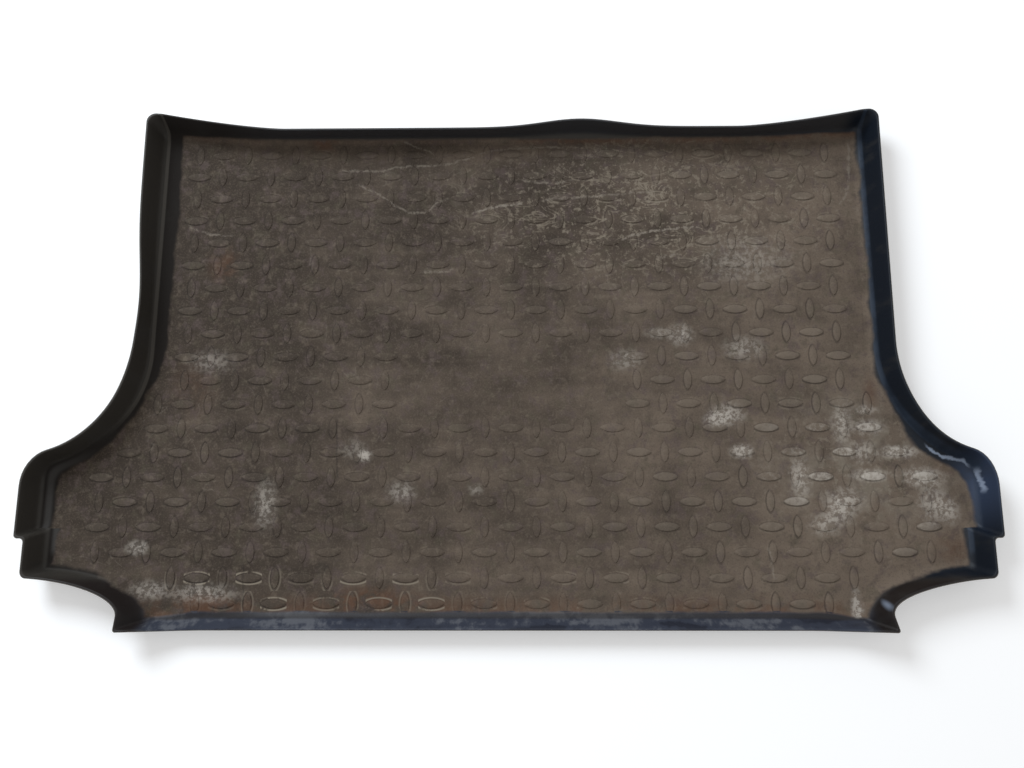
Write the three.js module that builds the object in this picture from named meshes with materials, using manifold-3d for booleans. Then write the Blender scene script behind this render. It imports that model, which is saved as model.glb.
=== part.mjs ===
// Car boot liner: a shallow moulded rubber tray with flared walls and a tread of small bars.
// Sizes are in millimetres. X runs across the car, Y from the tailgate to the seats, Z up.
import * as THREE from "three";
import Module from "manifold-3d";

// Rubber sheet and walls
const floorThickness = 3;
const wallThickness = 3;
const wallHeight = 45; // from the underside to the rim
const tailHeight = 26; // the low lip at the tailgate
const footFillet = 12; // how far the inside rounding at the foot runs along the floor and up the wall
const heelFillet = footFillet + wallThickness; // the same for the outside rounding

// Plan of the floor at the foot of the walls, right half, measured from the middle of the tread
const frontEdge = 356; // the edge towards the seats
const narrowHalf = 505.5; // half the width between the wheel arches
const wideHalf = 631; // half the width behind the wheel arches
const archEnd = 135; // where the arch wall would meet the wide side, behind the middle
const archSlope = 18; // degrees that the arch wall runs off the crosswise line
const ledgeDepth = 14; // the small step in each side
const ledgeEdge = 222; // the face of that step, behind the middle
const shoulderEdge = 276; // the top of each rear corner cut-out, behind the middle
const shoulderSlope = 4; // degrees that the shoulder falls towards the cut-out
const beakHalf = 473; // half the width between the two cut-outs
const tailEdge = 336; // the edge at the tailgate, behind the middle
const tailDrop = 7; // how much further back the floor reaches at the two beaks
const tailDropRun = 64; // the length over which it does

// How far each wall leans out between its foot and its rim
const frontFlare = 11;
const sideFlare = 13;
const archFlare = 6;
const wideFlare = 13.5;
const ledgeFlare = 14.5;
const shoulderFlare = 13;
const beakFlare = 24;
const beakReach = 7; // the extra lean at the very tip of each beak
const cornerReach = 3; // the extra lean of each side wall at its front corner
const tailFlare = 18;

// Rounding of the corners in plan, as the length it takes off each of the two edges
const frontCorner = 13;
const archCurve = 118;
const hipCorner = 29;
const hipGrowth = 10; // how much more the hip's rounding takes at the rim
const ledgeCorner = 5;
const shoulderCorner = 9;
const cutCurveAcross = 141; // the hollow curve of the rear cut-out, along the shoulder
const cutCurveAlong = 60; // the same curve, along the beak
const cutCurveLoss = 20; // how much less of the beak it takes at the rim
const beakTip = 4;
const tailBend = 20;
const roundingRoom = 0.98; // the most of an edge that the roundings at its two ends may take together

// The front wall has lost its straight line: it is pulled in between its corners, but for one hump
const pullIn = 25.5;
const pullRun = 180; // from each corner to where the pull is full
const humpHeight = 13;
const humpAt = 100; // right of the middle
const humpWidth = 75;
const pullSharpness = 1.4; // how late the pull sets in towards the corner
const pullAtFoot = 0.3; // the share of the pull that the foot of the wall follows

// The rim of the left side has a shallow dent
const dentDepth = 9;
const dentAt = 90; // ahead of the middle
const dentWidth = 85;

// The rear part sits a little to the left, and the rim of the right cut-out is pushed in
const rearShift = 5.9;
const rearShiftStart = 40; // behind the middle
const rearShiftRun = 120;
const pushDepth = 10.5;
const pushAcross = 490; // right of the middle
const pushBack = 310; // behind the middle
const pushWidth = 60;
const pushLength = 45;

// Tread: lens-shaped bars on a square net, lying across and standing along by turns
const columnPitch = 35;
const rowPitch = 33.9;
const rowCount = 20;
const columnReach = 16; // columns on each side of the middle one
const treadMargin = 24; // from the foot of the side walls to the middle of the nearest bar
const barHeight = 1.4;
const barSink = 0.3; // how far the flanks run on below the floor's surface
const lyingLength = 36;
const lyingWidth = 13;
const standingLength = 30.5;
const standingWidth = 11.8;
const lensBelt = 0.2; // shares of a bar's length, from its middle to its widest corners
const lensBeltWidth = 0.92; // share of the full width between those corners
const lensRidge = 0.22; // share of the length from the middle to the ridge's end
const panelColumns = 4; // the plain panel without bars, columns on each side of the middle one
const panelFirstRow = 8; // rows are counted from the tailgate
const panelLastRow = 10;

// Facets
const arcSteps = 4;
const longArcSteps = 7;
const frontSteps = 16; // on each half of the front edge
const sideSteps = 8; // on each side between the wheel arches
const riseSteps = 4; // where the low lip climbs to the beak

// A straight stretch of the outline. It runs along its angle, and its wall leans out to its left
function edge(x, y, degrees, flare) {
  const angle = THREE.MathUtils.degToRad(degrees);
  const along = new THREE.Vector2(Math.cos(angle), Math.sin(angle));
  return { through: new THREE.Vector2(x, y), along, flare };
}

// A rounding between two edges: what it takes off each of them at the foot, and how much more at the rim
function corner(before, after, steps, moreBefore = 0, moreAfter = 0) {
  return { before, after, steps, moreBefore, moreAfter };
}

// The right half of the outline, from the front round to the tailgate
const notchHalf = wideHalf - ledgeDepth;
const tailDropSlope = THREE.MathUtils.radToDeg(Math.atan2(tailDrop, tailDropRun));
const edges = [
  edge(0, frontEdge, 0, frontFlare),
  edge(narrowHalf, 0, -90, sideFlare),
  edge(wideHalf, -archEnd, -archSlope, archFlare),
  edge(wideHalf, 0, -90, wideFlare),
  edge(0, -ledgeEdge, 180, ledgeFlare),
  edge(notchHalf, 0, -90, ledgeFlare),
  edge(notchHalf, -shoulderEdge, 180 + shoulderSlope, shoulderFlare),
  edge(beakHalf, 0, -90, beakFlare),
  edge(beakHalf, -tailEdge - tailDrop, 180 - tailDropSlope, tailFlare),
  edge(0, -tailEdge, 180, tailFlare),
];
const corners = [
  corner(frontCorner, frontCorner, arcSteps),
  corner(archCurve, archCurve, longArcSteps),
  corner(hipCorner, hipCorner, arcSteps, hipGrowth, hipGrowth),
  corner(ledgeCorner, ledgeCorner, arcSteps),
  corner(ledgeCorner, ledgeCorner, arcSteps),
  corner(shoulderCorner, shoulderCorner, arcSteps),
  corner(cutCurveAcross, cutCurveAlong, longArcSteps, 0, -cutCurveLoss),
  corner(beakTip, beakTip, arcSteps),
  corner(tailBend, tailBend, arcSteps),
];
const beakCorner = corners.length - 2;

// A place on an edge once it has moved out to its left
function movedOut({ through, along }, move) {
  return new THREE.Vector2(-along.y, along.x).multiplyScalar(move).add(through);
}

// Where two edges meet once each has moved out
function meeting(first, second, moveFirst, moveSecond) {
  const start = movedOut(first, moveFirst);
  const gap = movedOut(second, moveSecond).sub(start);
  const run = gap.cross(second.along) / first.along.cross(second.along);
  return first.along.clone().multiplyScalar(run).add(start);
}

// A conic arc across the corner at point, which is a circle's where both cuts are alike
function roundedCorner(last, point, next, cutBefore, cutAfter, steps) {
  const back = last.clone().sub(point).normalize();
  const on = next.clone().sub(point).normalize();
  const weight = Math.sin(back.angleTo(on) / 2);
  const start = back.multiplyScalar(cutBefore).add(point);
  const end = on.multiplyScalar(cutAfter).add(point);
  const arc = [];
  for (let i = 0; i <= steps; i++) {
    const t = i / steps;
    const [near, middle, far] = [(1 - t) ** 2, 2 * weight * t * (1 - t), t ** 2];
    const place = start.clone().multiplyScalar(near);
    place.addScaledVector(point, middle).addScaledVector(end, far);
    arc.push(place.divideScalar(near + middle + far));
  }
  return arc;
}

// The arcs of the right half, at a share of the way up the wall and moved out by a margin
function cornerArcs(share, margin, tailMargin = margin) {
  const moves = edges.map((side, i) => side.flare * share + (i > beakCorner ? tailMargin : margin));
  const points = corners.map((_, i) => meeting(edges[i], edges[i + 1], moves[i], moves[i + 1]));
  points[0].x += cornerReach * share;
  points[beakCorner].x += beakReach * share;
  points[beakCorner].y += tailDrop * share;
  const line = [new THREE.Vector2(0, points[0].y), ...points, new THREE.Vector2(0, points.at(-1).y)];
  const cuts = corners.map((at) => [at.before + at.moreBefore * share, at.after + at.moreAfter * share]);
  // A rounding is held back where its neighbour would need the same stretch of wall
  const room = (i, near, far) => Math.min(1, (line[i].distanceTo(line[i + 1]) * roundingRoom) / (near + far));
  return corners.map(({ steps }, i) => {
    const cutBefore = cuts[i][0] * room(i, i ? cuts[i - 1][1] : 0, cuts[i][0]);
    const cutAfter = cuts[i][1] * room(i + 1, cuts[i][1], cuts[i + 1]?.[0] ?? 0);
    return roundedCorner(line[i], line[i + 1], line[i + 2], cutBefore, cutAfter, steps);
  });
}

function bump(place, middle, width) {
  return Math.exp(-(((place - middle) / width) ** 2));
}

// How far the front wall is pulled in at a place across the car
function frontPull(x) {
  const nearCorner = THREE.MathUtils.clamp((Math.abs(x) - narrowHalf + pullRun) / pullRun, 0, 1);
  return pullIn * (1 - nearCorner ** pullSharpness) - humpHeight * bump(x, humpAt, humpWidth);
}

// How far a place is moved to the left of where the straight liner had it, at a share of the way up
function sideShift(x, y, share) {
  const rear = THREE.MathUtils.smoothstep(-y, rearShiftStart, rearShiftStart + rearShiftRun);
  const push = bump(x, pushAcross, pushWidth) * bump(y, -pushBack, pushLength);
  const dent = x < 0 ? bump(y, dentAt, dentWidth) : 0;
  return rearShift * rear + (pushDepth * push - dentDepth * dent) * share;
}

// Evenly spaced points from one place up to another, without the last
function stretch(from, to, steps) {
  return Array.from({ length: steps }, (_, i) => from.clone().lerp(to, i / steps));
}

// The whole outline, clockwise from the middle of the front, with the height of the rim at each point
function outline(share, margin) {
  const arcs = cornerArcs(share, margin);
  const frontArc = arcs[0];
  const frontMiddle = new THREE.Vector2(0, frontArc[0].y);
  const sideEnds = [frontArc.at(-1), arcs[1][0]];
  const high = [
    ...stretch(frontMiddle, frontArc[0], frontSteps),
    ...frontArc.slice(0, -1),
    ...stretch(...sideEnds, sideSteps),
    ...arcs.slice(1, beakCorner + 1).flat(),
  ];
  const right = high.map(({ x, y }) => ({ x, y, top: wallHeight }));
  const bend = arcs.at(-1);
  const beak = arcs[beakCorner].at(-1);
  for (let i = 1; i < riseSteps; i++) {
    const { x, y } = beak.clone().lerp(bend[0], i / riseSteps);
    const fall = THREE.MathUtils.smoothstep(i / riseSteps, 0, 1);
    right.push({ x, y, top: THREE.MathUtils.lerp(wallHeight, tailHeight, fall) });
  }
  right.push(...bend.map(({ x, y }) => ({ x, y, top: tailHeight })));
  const left = right.slice(1).map((point) => ({ ...point, x: -point.x })).reverse();
  const pullShare = pullAtFoot + (1 - pullAtFoot) * share;
  return [...right, ...left].map(({ x, y, top }) => {
    const pull = y >= sideEnds[0].y ? frontPull(x) * pullShare : 0;
    return { x: x - sideShift(x, y, share), y: y - pull, top };
  });
}

// One ring of the tray's section, on the inside of the sheet or on the outside
function ring(share, margin, base) {
  return outline(share, margin).map(({ x, y, top }) => [x, y, base + (top - base) * share]);
}

// Sheet mesh: rings up the inside, over the rim and down the outside, closed by floor and underside
function trayMesh() {
  const foot = footFillet / wallHeight;
  const heel = heelFillet / wallHeight;
  const rings = [
    ring(0, -footFillet, floorThickness),
    ring(foot / 4, -footFillet / 4, floorThickness),
    ring(foot, 0, floorThickness),
    ring(1, 0, floorThickness),
    ring(1, wallThickness, 0),
    ring(heel, wallThickness, 0),
    ring(heel / 4, wallThickness - heelFillet / 4, 0),
    ring(0, wallThickness - heelFillet, 0),
  ];
  const count = rings[0].length;
  const faces = [];
  for (let level = 0; level + 1 < rings.length; level++) {
    for (let i = 0; i < count; i++) {
      const next = (i + 1) % count;
      const a = level * count + i;
      const b = level * count + next;
      faces.push([a, b, a + count], [b, b + count, a + count]);
    }
  }
  const last = (rings.length - 1) * count;
  faces.push(...cap(rings[0], 0, true), ...cap(rings.at(-1), last, false));
  return { points: rings.flat(), faces };
}

// Triangles over a flat ring, facing up or down
function cap(points, first, up) {
  const contour = points.map(([x, y]) => new THREE.Vector2(x, y));
  return THREE.ShapeUtils.triangulateShape(contour, []).map(([a, b, c]) => {
    const turn = contour[b].clone().sub(contour[a]).cross(contour[c].clone().sub(contour[a]));
    const face = turn > 0 === up ? [a, b, c] : [a, c, b];
    return face.map((index) => first + index);
  });
}

// One bar: a pointed lens with a short ridge. Its flanks run on below the floor's surface
function barMesh(x, y, length, width, standing) {
  const flank = (width / 2) * lensBeltWidth;
  const ridgeEnd = length * lensRidge;
  const belt = length * lensBelt;
  const tip = length / 2;
  const lens = [[-tip, 0], [-belt, -flank], [belt, -flank], [tip, 0], [belt, flank], [-belt, flank]];
  const spread = barSink / barHeight;
  const points = lens.map(([u, v]) => {
    const ridge = Math.sign(u) * ridgeEnd;
    return [u + (u - ridge) * spread, v * (1 + spread), floorThickness - barSink];
  });
  points.push([-ridgeEnd, 0, floorThickness + barHeight], [ridgeEnd, 0, floorThickness + barHeight]);
  const faces = [
    [0, 1, 6], [1, 2, 7], [1, 7, 6], [2, 3, 7], [3, 4, 7], [4, 5, 6], [4, 6, 7], [5, 0, 6],
    [0, 5, 1], [5, 4, 1], [4, 2, 1], [4, 3, 2],
  ];
  const placed = points.map(([u, v, z]) => (standing ? [x - v, y + u, z] : [x + u, y + v, z]));
  return { points: placed, faces };
}

// The field that bars may stand in: it keeps its margin from the side walls and runs past the tail lip
const fieldEdge = cornerArcs(0, -treadMargin, tailEdge)
  .flat()
  .map(({ x, y }) => ({ x: Math.min(x, notchHalf - treadMargin), y }));
const pastMiddle = -columnPitch;
const field = [{ x: pastMiddle, y: fieldEdge[0].y }, ...fieldEdge, { x: pastMiddle, y: fieldEdge.at(-1).y }];

// Whether a place in the right half lies in that field
function inField(x, y) {
  let inside = false;
  field.forEach((point, i) => {
    const last = field.at(i - 1);
    const crosses = point.y > y !== last.y > y;
    if (crosses && x < last.x + ((y - last.y) * (point.x - last.x)) / (point.y - last.y)) {
      inside = !inside;
    }
  });
  return inside;
}

function inPanel(column, row) {
  return Math.abs(column) <= panelColumns && row >= panelFirstRow && row <= panelLastRow;
}

function treadMesh() {
  const points = [];
  const faces = [];
  for (let row = 0; row < rowCount; row++) {
    for (let column = -columnReach; column <= columnReach; column++) {
      const x = column * columnPitch;
      const y = (row - (rowCount - 1) / 2) * rowPitch;
      if (inPanel(column, row) || !inField(Math.abs(x), y)) {
        continue;
      }
      const standing = (column + row) % 2 === 0;
      const bar = standing
        ? barMesh(x, y, standingLength, standingWidth, true)
        : barMesh(x, y, lyingLength, lyingWidth, false);
      faces.push(...bar.faces.map((face) => face.map((index) => index + points.length)));
      points.push(...bar.points);
    }
  }
  return { points, faces };
}

const library = await Module();
library.setup();

function solid({ points, faces }) {
  const vertProperties = Float32Array.from(points.flat());
  const triVerts = Uint32Array.from(faces.flat());
  return new library.Manifold(new library.Mesh({ numProp: 3, vertProperties, triVerts }));
}

// One moulding: the bars are of one piece with the sheet
function moulding() {
  const mesh = solid(trayMesh()).add(solid(treadMesh())).getMesh();
  const geometry = new THREE.BufferGeometry();
  geometry.setAttribute("position", new THREE.BufferAttribute(mesh.vertProperties, 3));
  geometry.setIndex(new THREE.BufferAttribute(mesh.triVerts, 1));
  geometry.computeBoundingBox();
  const middle = geometry.boundingBox.getCenter(new THREE.Vector3());
  geometry.translate(-middle.x, -middle.y, 0);
  return geometry;
}

const rubber = new THREE.MeshStandardMaterial({ color: 0x2a2826, roughness: 0.8, metalness: 0 });
const liner = new THREE.Mesh(moulding(), rubber);
liner.name = "boot_liner";

const group = new THREE.Group();
group.add(liner);

export default group;
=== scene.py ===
import math

import bpy
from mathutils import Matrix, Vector


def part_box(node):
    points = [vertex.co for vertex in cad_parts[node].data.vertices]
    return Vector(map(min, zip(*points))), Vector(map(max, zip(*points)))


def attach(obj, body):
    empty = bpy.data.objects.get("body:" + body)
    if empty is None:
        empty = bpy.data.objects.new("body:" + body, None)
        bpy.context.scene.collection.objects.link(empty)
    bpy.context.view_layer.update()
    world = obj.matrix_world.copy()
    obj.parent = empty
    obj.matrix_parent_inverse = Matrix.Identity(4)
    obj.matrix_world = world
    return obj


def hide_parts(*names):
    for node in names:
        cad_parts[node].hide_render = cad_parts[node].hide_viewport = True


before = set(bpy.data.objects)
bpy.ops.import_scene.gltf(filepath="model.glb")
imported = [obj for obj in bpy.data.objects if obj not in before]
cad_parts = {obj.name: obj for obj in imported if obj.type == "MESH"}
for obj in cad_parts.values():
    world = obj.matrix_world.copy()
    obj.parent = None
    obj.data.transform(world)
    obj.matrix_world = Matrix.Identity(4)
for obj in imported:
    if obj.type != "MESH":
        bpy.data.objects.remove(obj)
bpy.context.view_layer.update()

# Car boot liner: a dusty black rubber tray with flared walls and a tread of small lens-shaped bars
mm = 0.001

# The sheet's sizes in millimetres, measured from the middle of the tread
tray = {
    "floorThickness": 3, "wallThickness": 3, "wallHeight": 45, "tailHeight": 26,
    "footFillet": 12, "heelFillet": 15, "rimRounding": 0.8,
    "frontEdge": 356, "narrowHalf": 505.5, "wideHalf": 631, "archEnd": 135, "archSlope": 18,
    "ledgeDepth": 14, "ledgeEdge": 222, "shoulderEdge": 276, "shoulderSlope": 4,
    "beakHalf": 473, "tailEdge": 336, "tailDrop": 7, "tailDropRun": 64, "beakReach": 7, "cornerReach": 3,
    "frontFlare": 11, "sideFlare": 13, "archFlare": 6, "wideFlare": 13.5, "ledgeFlare": 14.5,
    "shoulderFlare": 13, "beakFlare": 24, "tailFlare": 18,
    "frontCorner": 13, "archCurve": 118, "hipCorner": 29, "hipGrowth": 10, "ledgeCorner": 5,
    "shoulderCorner": 9, "cutCurveAcross": 141, "cutCurveAlong": 60, "cutCurveLoss": 20,
    "beakTip": 4, "tailBend": 20,
    "pullIn": 25.5, "pullRun": 180, "pullSharpness": 1.4, "pullAtFoot": 0.3,
    "humpHeight": 13, "humpAt": 100, "humpWidth": 75,
    "dentDepth": 9, "dentAt": 90, "dentWidth": 85,
    "rearShift": 5.9, "rearShiftStart": 40, "rearShiftRun": 120,
    "pushDepth": 10.5, "pushAcross": 490, "pushBack": 310, "pushWidth": 60, "pushLength": 45,
    "arcSteps": 8, "longArcSteps": 22, "frontSteps": 60, "sideSteps": 30, "riseSteps": 14, "tailSteps": 30,
    "filletSteps": 8, "wallSteps": 4, "rimSteps": 3, "cornerRoom": 0.98, "sharpAngle": 32,
}

# The bars of the tread, lying across and standing along by turns
tread = {
    "columnPitch": 35, "rowPitch": 33.9, "columns": 33, "rows": 20, "margin": 24,
    "lyingLength": 36, "lyingWidth": 13, "standingLength": 30.5, "standingWidth": 11.8,
    "height": 1.4, "sink": 0.3, "shoulder": 0.88, "shoulderHeight": 0.65, "top": 0.55, "lensPower": 1.25,
    "panelColumns": 4, "panelFirstRow": 8, "panelLastRow": 10, "lensPoints": 12, "weld": 0.001,
    "rayStart": 20, "rayLength": 100,
    "rowReach": [(0, 12), (1, 13), (2, 16), (6, 15), (7, 14), (9, 13)],  # from a row on, columns each way
}

cadLow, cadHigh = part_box("boot_liner")
rimSide = tray["wideHalf"] + tray["wideFlare"] + tray["wallThickness"] - tray["rearShift"]
rimFront = tray["frontEdge"] + tray["frontFlare"] + tray["wallThickness"]
middle = Vector((cadHigh.x / mm - rimSide, cadHigh.y / mm - rimFront, 0))  # the tread's, in the row frame
floorMiddle = middle + Vector((0, 0, tray["floorThickness"]))


def edge(x, y, degrees, flare):
    angle = math.radians(degrees)
    return Vector((x, y)), Vector((math.cos(angle), math.sin(angle))), flare


def movedOut(side, move):
    through, along, _ = side
    return through + Vector((-along.y, along.x)) * move


def meeting(first, second, moveFirst, moveSecond):
    start = movedOut(first, moveFirst)
    gap = movedOut(second, moveSecond) - start
    run = gap.cross(second[1]) / first[1].cross(second[1])
    return start + first[1] * run


def lineEdges():
    t = tray
    notchHalf = t["wideHalf"] - t["ledgeDepth"]
    dropSlope = math.degrees(math.atan2(t["tailDrop"], t["tailDropRun"]))
    return [
        edge(0, t["frontEdge"], 0, t["frontFlare"]),
        edge(t["narrowHalf"], 0, -90, t["sideFlare"]),
        edge(t["wideHalf"], -t["archEnd"], -t["archSlope"], t["archFlare"]),
        edge(t["wideHalf"], 0, -90, t["wideFlare"]),
        edge(0, -t["ledgeEdge"], 180, t["ledgeFlare"]),
        edge(notchHalf, 0, -90, t["ledgeFlare"]),
        edge(notchHalf, -t["shoulderEdge"], 180 + t["shoulderSlope"], t["shoulderFlare"]),
        edge(t["beakHalf"], 0, -90, t["beakFlare"]),
        edge(t["beakHalf"], -t["tailEdge"] - t["tailDrop"], 180 - dropSlope, t["tailFlare"]),
        edge(0, -t["tailEdge"], 180, t["tailFlare"]),
    ]


def corner(before, after, steps, moreBefore=0, moreAfter=0):
    return before, after, moreBefore, moreAfter, steps


def lineCorners():
    t = tray
    few, many = t["arcSteps"], t["longArcSteps"]
    return [
        corner(t["frontCorner"], t["frontCorner"], few),
        corner(t["archCurve"], t["archCurve"], many),
        corner(t["hipCorner"], t["hipCorner"], few, t["hipGrowth"], t["hipGrowth"]),
        corner(t["ledgeCorner"], t["ledgeCorner"], few),
        corner(t["ledgeCorner"], t["ledgeCorner"], few),
        corner(t["shoulderCorner"], t["shoulderCorner"], few),
        corner(t["cutCurveAcross"], t["cutCurveAlong"], many, 0, -t["cutCurveLoss"]),
        corner(t["beakTip"], t["beakTip"], few),
        corner(t["tailBend"], t["tailBend"], few),
    ]


edges = lineEdges()
corners = lineCorners()
beakCorner = len(corners) - 2


def roundedCorner(last, point, following, cutBefore, cutAfter, steps):
    back = (last - point).normalized()
    on = (following - point).normalized()
    weight = math.sin(back.angle(on) / 2)
    start, end = point + back * cutBefore, point + on * cutAfter
    arc = []
    for i in range(steps + 1):
        t = i / steps
        near, middle, far = (1 - t) ** 2, 2 * weight * t * (1 - t), t ** 2
        arc.append((start * near + point * middle + end * far) / (near + middle + far))
    return arc


def cornerArcs(share, margin, tailMargin=None):
    tailMargin = margin if tailMargin is None else tailMargin
    moves = [side[2] * share + (tailMargin if i > beakCorner else margin) for i, side in enumerate(edges)]
    points = [meeting(edges[i], edges[i + 1], moves[i], moves[i + 1]) for i in range(len(corners))]
    points[0] += Vector((tray["cornerReach"], 0)) * share
    points[beakCorner] += Vector((tray["beakReach"], tray["tailDrop"])) * share
    line = [Vector((0, points[0].y)), *points, Vector((0, points[-1].y))]
    cuts = [(before + moreBefore * share, after + moreAfter * share)
            for before, after, moreBefore, moreAfter, _ in corners]

    def room(i, near, far):  # a rounding is held back where its neighbour needs the same stretch
        return min(1, (line[i + 1] - line[i]).length * tray["cornerRoom"] / (near + far))

    arcs = []
    for i, (before, after) in enumerate(cuts):
        lastCut = cuts[i - 1][1] if i else 0
        nextCut = cuts[i + 1][0] if i + 1 < len(cuts) else 0
        cutBefore = before * room(i, lastCut, before)
        cutAfter = after * room(i + 1, after, nextCut)
        arcs.append(roundedCorner(line[i], line[i + 1], line[i + 2], cutBefore, cutAfter, corners[i][-1]))
    return arcs


def bump(place, middle, width):
    return math.exp(-(((place - middle) / width) ** 2))


def smooth(t):
    return t * t * (3 - 2 * t)


def frontPull(x):
    nearCorner = min(1, max(0, (abs(x) - tray["narrowHalf"] + tray["pullRun"]) / tray["pullRun"]))
    pulled = tray["pullIn"] * (1 - nearCorner ** tray["pullSharpness"])
    return pulled - tray["humpHeight"] * bump(x, tray["humpAt"], tray["humpWidth"])


def sideShift(x, y, share):
    t = tray
    rear = smooth(min(1, max(0, (-y - t["rearShiftStart"]) / t["rearShiftRun"])))
    push = bump(x, t["pushAcross"], t["pushWidth"]) * bump(y, -t["pushBack"], t["pushLength"])
    dent = bump(y, t["dentAt"], t["dentWidth"]) if x < 0 else 0
    return t["rearShift"] * rear + (t["pushDepth"] * push - t["dentDepth"] * dent) * share


def stretch(start, end, steps):
    return [start.lerp(end, i / steps) for i in range(steps)]


# The whole outline, clockwise from the middle of the front, as (x, y, height of the rim)
def outline(share, margin):
    arcs = cornerArcs(share, margin)
    front = arcs[0]
    sideStart, sideEnd = front[-1], arcs[1][0]
    high = stretch(Vector((0, front[0].y)), front[0], tray["frontSteps"]) + front[:-1]
    high += stretch(sideStart, sideEnd, tray["sideSteps"])
    for arc in arcs[1:beakCorner + 1]:
        high += arc
    right = [(p.x, p.y, tray["wallHeight"]) for p in high]
    beak, bend = arcs[beakCorner][-1], arcs[-1]
    for i in range(1, tray["riseSteps"]):
        t = i / tray["riseSteps"]
        p = beak.lerp(bend[0], t)
        right.append((p.x, p.y, tray["wallHeight"] + (tray["tailHeight"] - tray["wallHeight"]) * smooth(t)))
    right += [(p.x, p.y, tray["tailHeight"]) for p in bend]
    tailRun = stretch(bend[-1], Vector((0, bend[-1].y)), tray["tailSteps"])
    right += [(p.x, p.y, tray["tailHeight"]) for p in tailRun[1:]]
    tailMiddle = (0, bend[-1].y, tray["tailHeight"])
    left = [(-x, y, top) for x, y, top in reversed(right[1:])]
    pullShare = tray["pullAtFoot"] + (1 - tray["pullAtFoot"]) * share
    placed = []
    for x, y, top in right + [tailMiddle] + left:
        pull = frontPull(x) * pullShare if y >= sideStart.y else 0
        placed.append((x - sideShift(x, y, share), y - pull, top))
    return placed


def ring(share, margin, base):
    return [(x, y, base + (top - base) * share) for x, y, top in outline(share, margin)]


# The sheet: rings up the inside, over the rounded rim and down the outside
def trayMesh():
    t = tray
    thick, high = t["wallThickness"], t["wallHeight"]
    foot, heel, soft = t["footFillet"] / high, t["heelFillet"] / high, t["rimRounding"]
    rings, rims, inners = [], [], []

    def add(share, margin, base, rim=0):
        rings.append(ring(share, margin, base))
        rims.append(rim)
        inners.append(1 if base else 0)

    for i in range(t["filletSteps"] + 1):
        angle = math.radians(90 * i / t["filletSteps"])
        add(foot * (1 - math.cos(angle)), -t["footFillet"] * (1 - math.sin(angle)), t["floorThickness"])
    for i in range(1, t["wallSteps"]):
        add(foot + (1 - soft / high - foot) * i / t["wallSteps"], 0, t["floorThickness"])
    for i in range(t["rimSteps"] + 1):
        angle = math.radians(90 * i / t["rimSteps"])
        add(1 - soft / high * (1 - math.sin(angle)), soft * (1 - math.cos(angle)), t["floorThickness"])
    for i in range(t["rimSteps"] + 1):
        angle = math.radians(90 * i / t["rimSteps"])
        add(1 - soft / high * (1 - math.cos(angle)), thick - soft * (1 - math.sin(angle)), 0, 1)
    for i in range(1, t["wallSteps"]):
        add(1 - soft / high + (heel - 1 + soft / high) * i / t["wallSteps"], thick, 0)
    for i in range(t["filletSteps"] + 1):
        angle = math.radians(90 * i / t["filletSteps"])
        add(heel * (1 - math.sin(angle)), thick - t["heelFillet"] * (1 - math.cos(angle)), 0)
    count = len(rings[0])
    faces = []
    for level in range(len(rings) - 1):
        for i in range(count):
            a, b = level * count + i, level * count + (i + 1) % count
            faces.append((a, b, b + count, a + count))
    faces.append(tuple(range(count - 1, -1, -1)))
    faces.append(tuple(range((len(rings) - 1) * count, len(rings) * count)))
    points = [(Vector(point) + middle) * mm for level in rings for point in level]
    mesh = bpy.data.meshes.new("sheet")
    mesh.from_pydata(points, [], faces)
    for name, levels in (("rim", rims), ("inner", inners)):
        share = mesh.attributes.new(name, "FLOAT", "POINT")
        share.data.foreach_set("value", [float(level) for level in levels for _ in range(count)])
    mesh.update()
    return mesh


# The field that bars may stand in, as one flat face on the floor
def fieldMesh():
    notchHalf = tray["wideHalf"] - tray["ledgeDepth"]
    arcs = cornerArcs(0, -tread["margin"], tray["tailEdge"])
    right = [(min(p.x, notchHalf - tread["margin"]), p.y) for arc in arcs for p in arc]
    around = right + [(-x, y) for x, y in reversed(right)]
    points = [(Vector((x, y, 0)) + floorMiddle) * mm for x, y in around]
    mesh = bpy.data.meshes.new("field")
    mesh.from_pydata(points, [], [tuple(range(len(points) - 1, -1, -1))])
    return mesh


class Wire:
    # One output of a node. A sum written with it adds its own Math nodes
    def __init__(self, net, socket):
        self.net = net
        self.socket = socket

    def out(self, name):
        return Wire(self.net, self.socket.node.outputs[name])

    def __add__(self, other):
        return self.net.math("ADD", self, other)

    def __radd__(self, other):
        return self.net.math("ADD", other, self)

    def __sub__(self, other):
        return self.net.math("SUBTRACT", self, other)

    def __rsub__(self, other):
        return self.net.math("SUBTRACT", other, self)

    def __mul__(self, other):
        return self.net.math("MULTIPLY", self, other)

    def __rmul__(self, other):
        return self.net.math("MULTIPLY", other, self)

    def __truediv__(self, other):
        return self.net.math("DIVIDE", self, other)

    def __pow__(self, other):
        return self.net.math("POWER", self, other)

    def __abs__(self):
        return self.net.math("ABSOLUTE", self)

    def __lt__(self, other):
        return self.net.math("LESS_THAN", self, other)

    def __gt__(self, other):
        return self.net.math("GREATER_THAN", self, other)


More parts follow.
